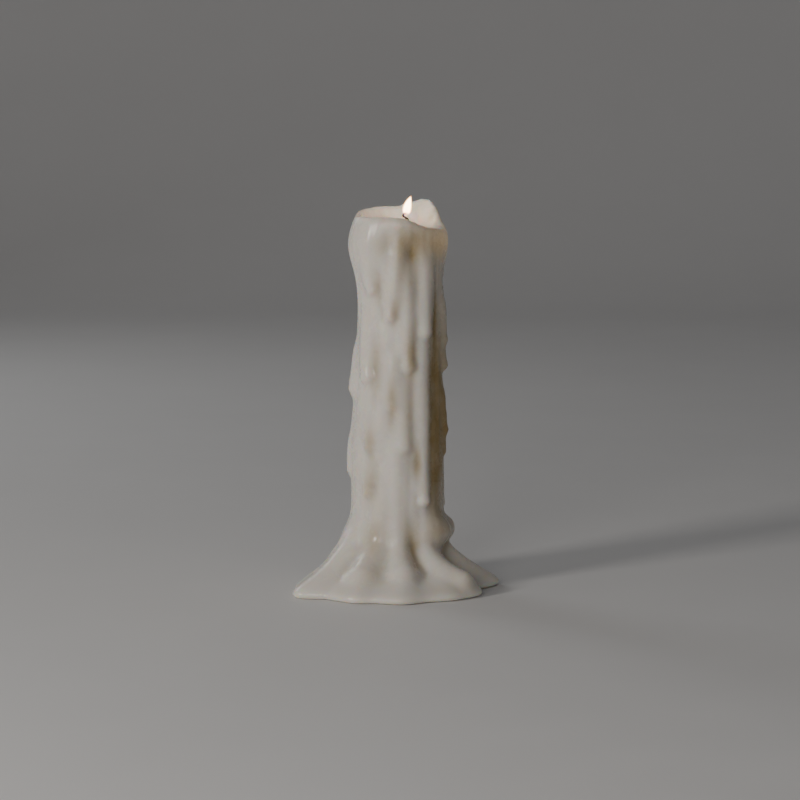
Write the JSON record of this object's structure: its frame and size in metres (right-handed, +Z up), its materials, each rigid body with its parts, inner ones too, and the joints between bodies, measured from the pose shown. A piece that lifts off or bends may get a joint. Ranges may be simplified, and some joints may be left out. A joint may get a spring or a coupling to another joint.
{
  "type": "melted candle",
  "caption": "Part-burnt pillar candle of ivory wax with a curled burnt wick, an uneven melted rim, thick drips down the wall and a wide set pool of wax at its foot.",
  "frame": {"origin": "on the floor, under the middle of the candle's column", "axes": "+Z up along the candle, towards the wick; -Y is the front seen in the picture; +X is the picture's right"},
  "size_m": [0.1237, 0.1146, 0.2332],
  "materials": {
    "wax": "satin ivory paraffin wax, lets some light through",
    "wick": "braided cotton, charred at its exposed end"
  },
  "bodies": {
    "root": {"wax_body": "wax", "wick": "wick"}
  },
  "joints": []
}
